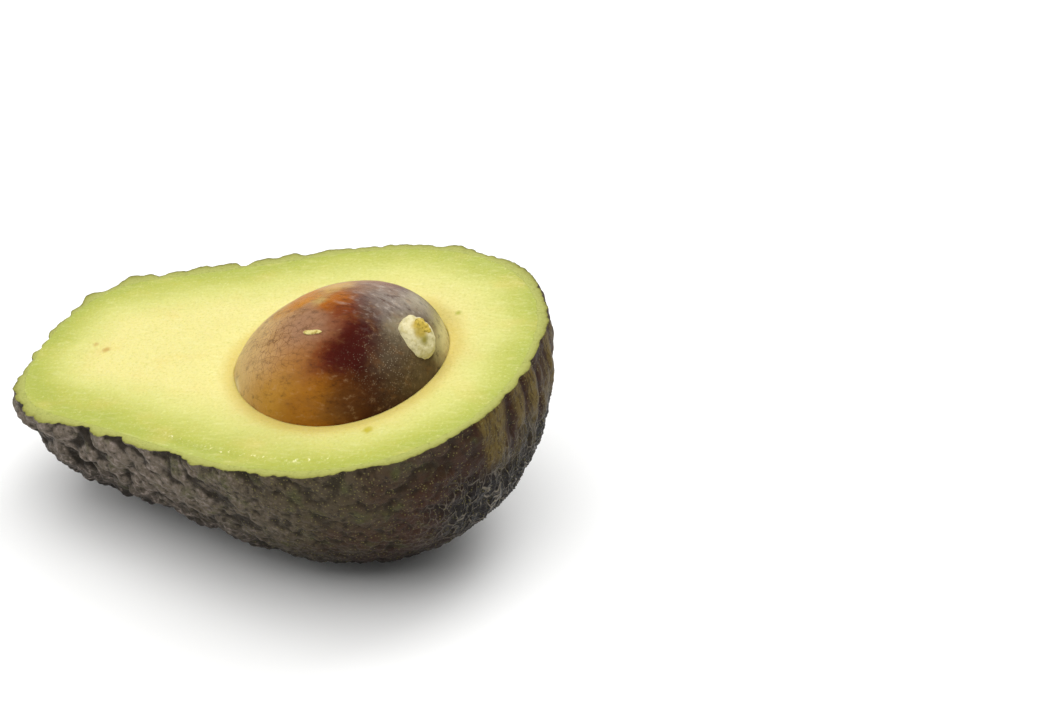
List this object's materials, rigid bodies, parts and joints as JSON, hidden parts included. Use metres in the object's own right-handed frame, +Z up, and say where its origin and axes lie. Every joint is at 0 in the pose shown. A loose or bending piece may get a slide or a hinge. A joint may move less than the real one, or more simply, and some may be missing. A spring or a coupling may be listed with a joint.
{
  "type": "avocado half with its seed",
  "caption": "Half of a pear-shaped, rough-skinned avocado, cut lengthwise, with its egg-shaped seed seated in the flesh, lying on its back.",
  "frame": {"origin": "on the surface that the half lies on, under the middle of its box", "axes": "+X along the fruit from its stem end to its broad end, +Z up, and the cut face faces up, tilted 10 degrees down towards -X and 8 degrees down towards -Y"},
  "size_m": [0.1002, 0.0694, 0.0511],
  "materials": {
    "skin": "satin",
    "flesh": "satin",
    "seed": "satin",
    "seed_scar": "matte"
  },
  "bodies": {
    "root": {"skin": "skin", "flesh": "flesh", "seed": "seed", "seed_scar": "seed_scar"}
  },
  "joints": []
}
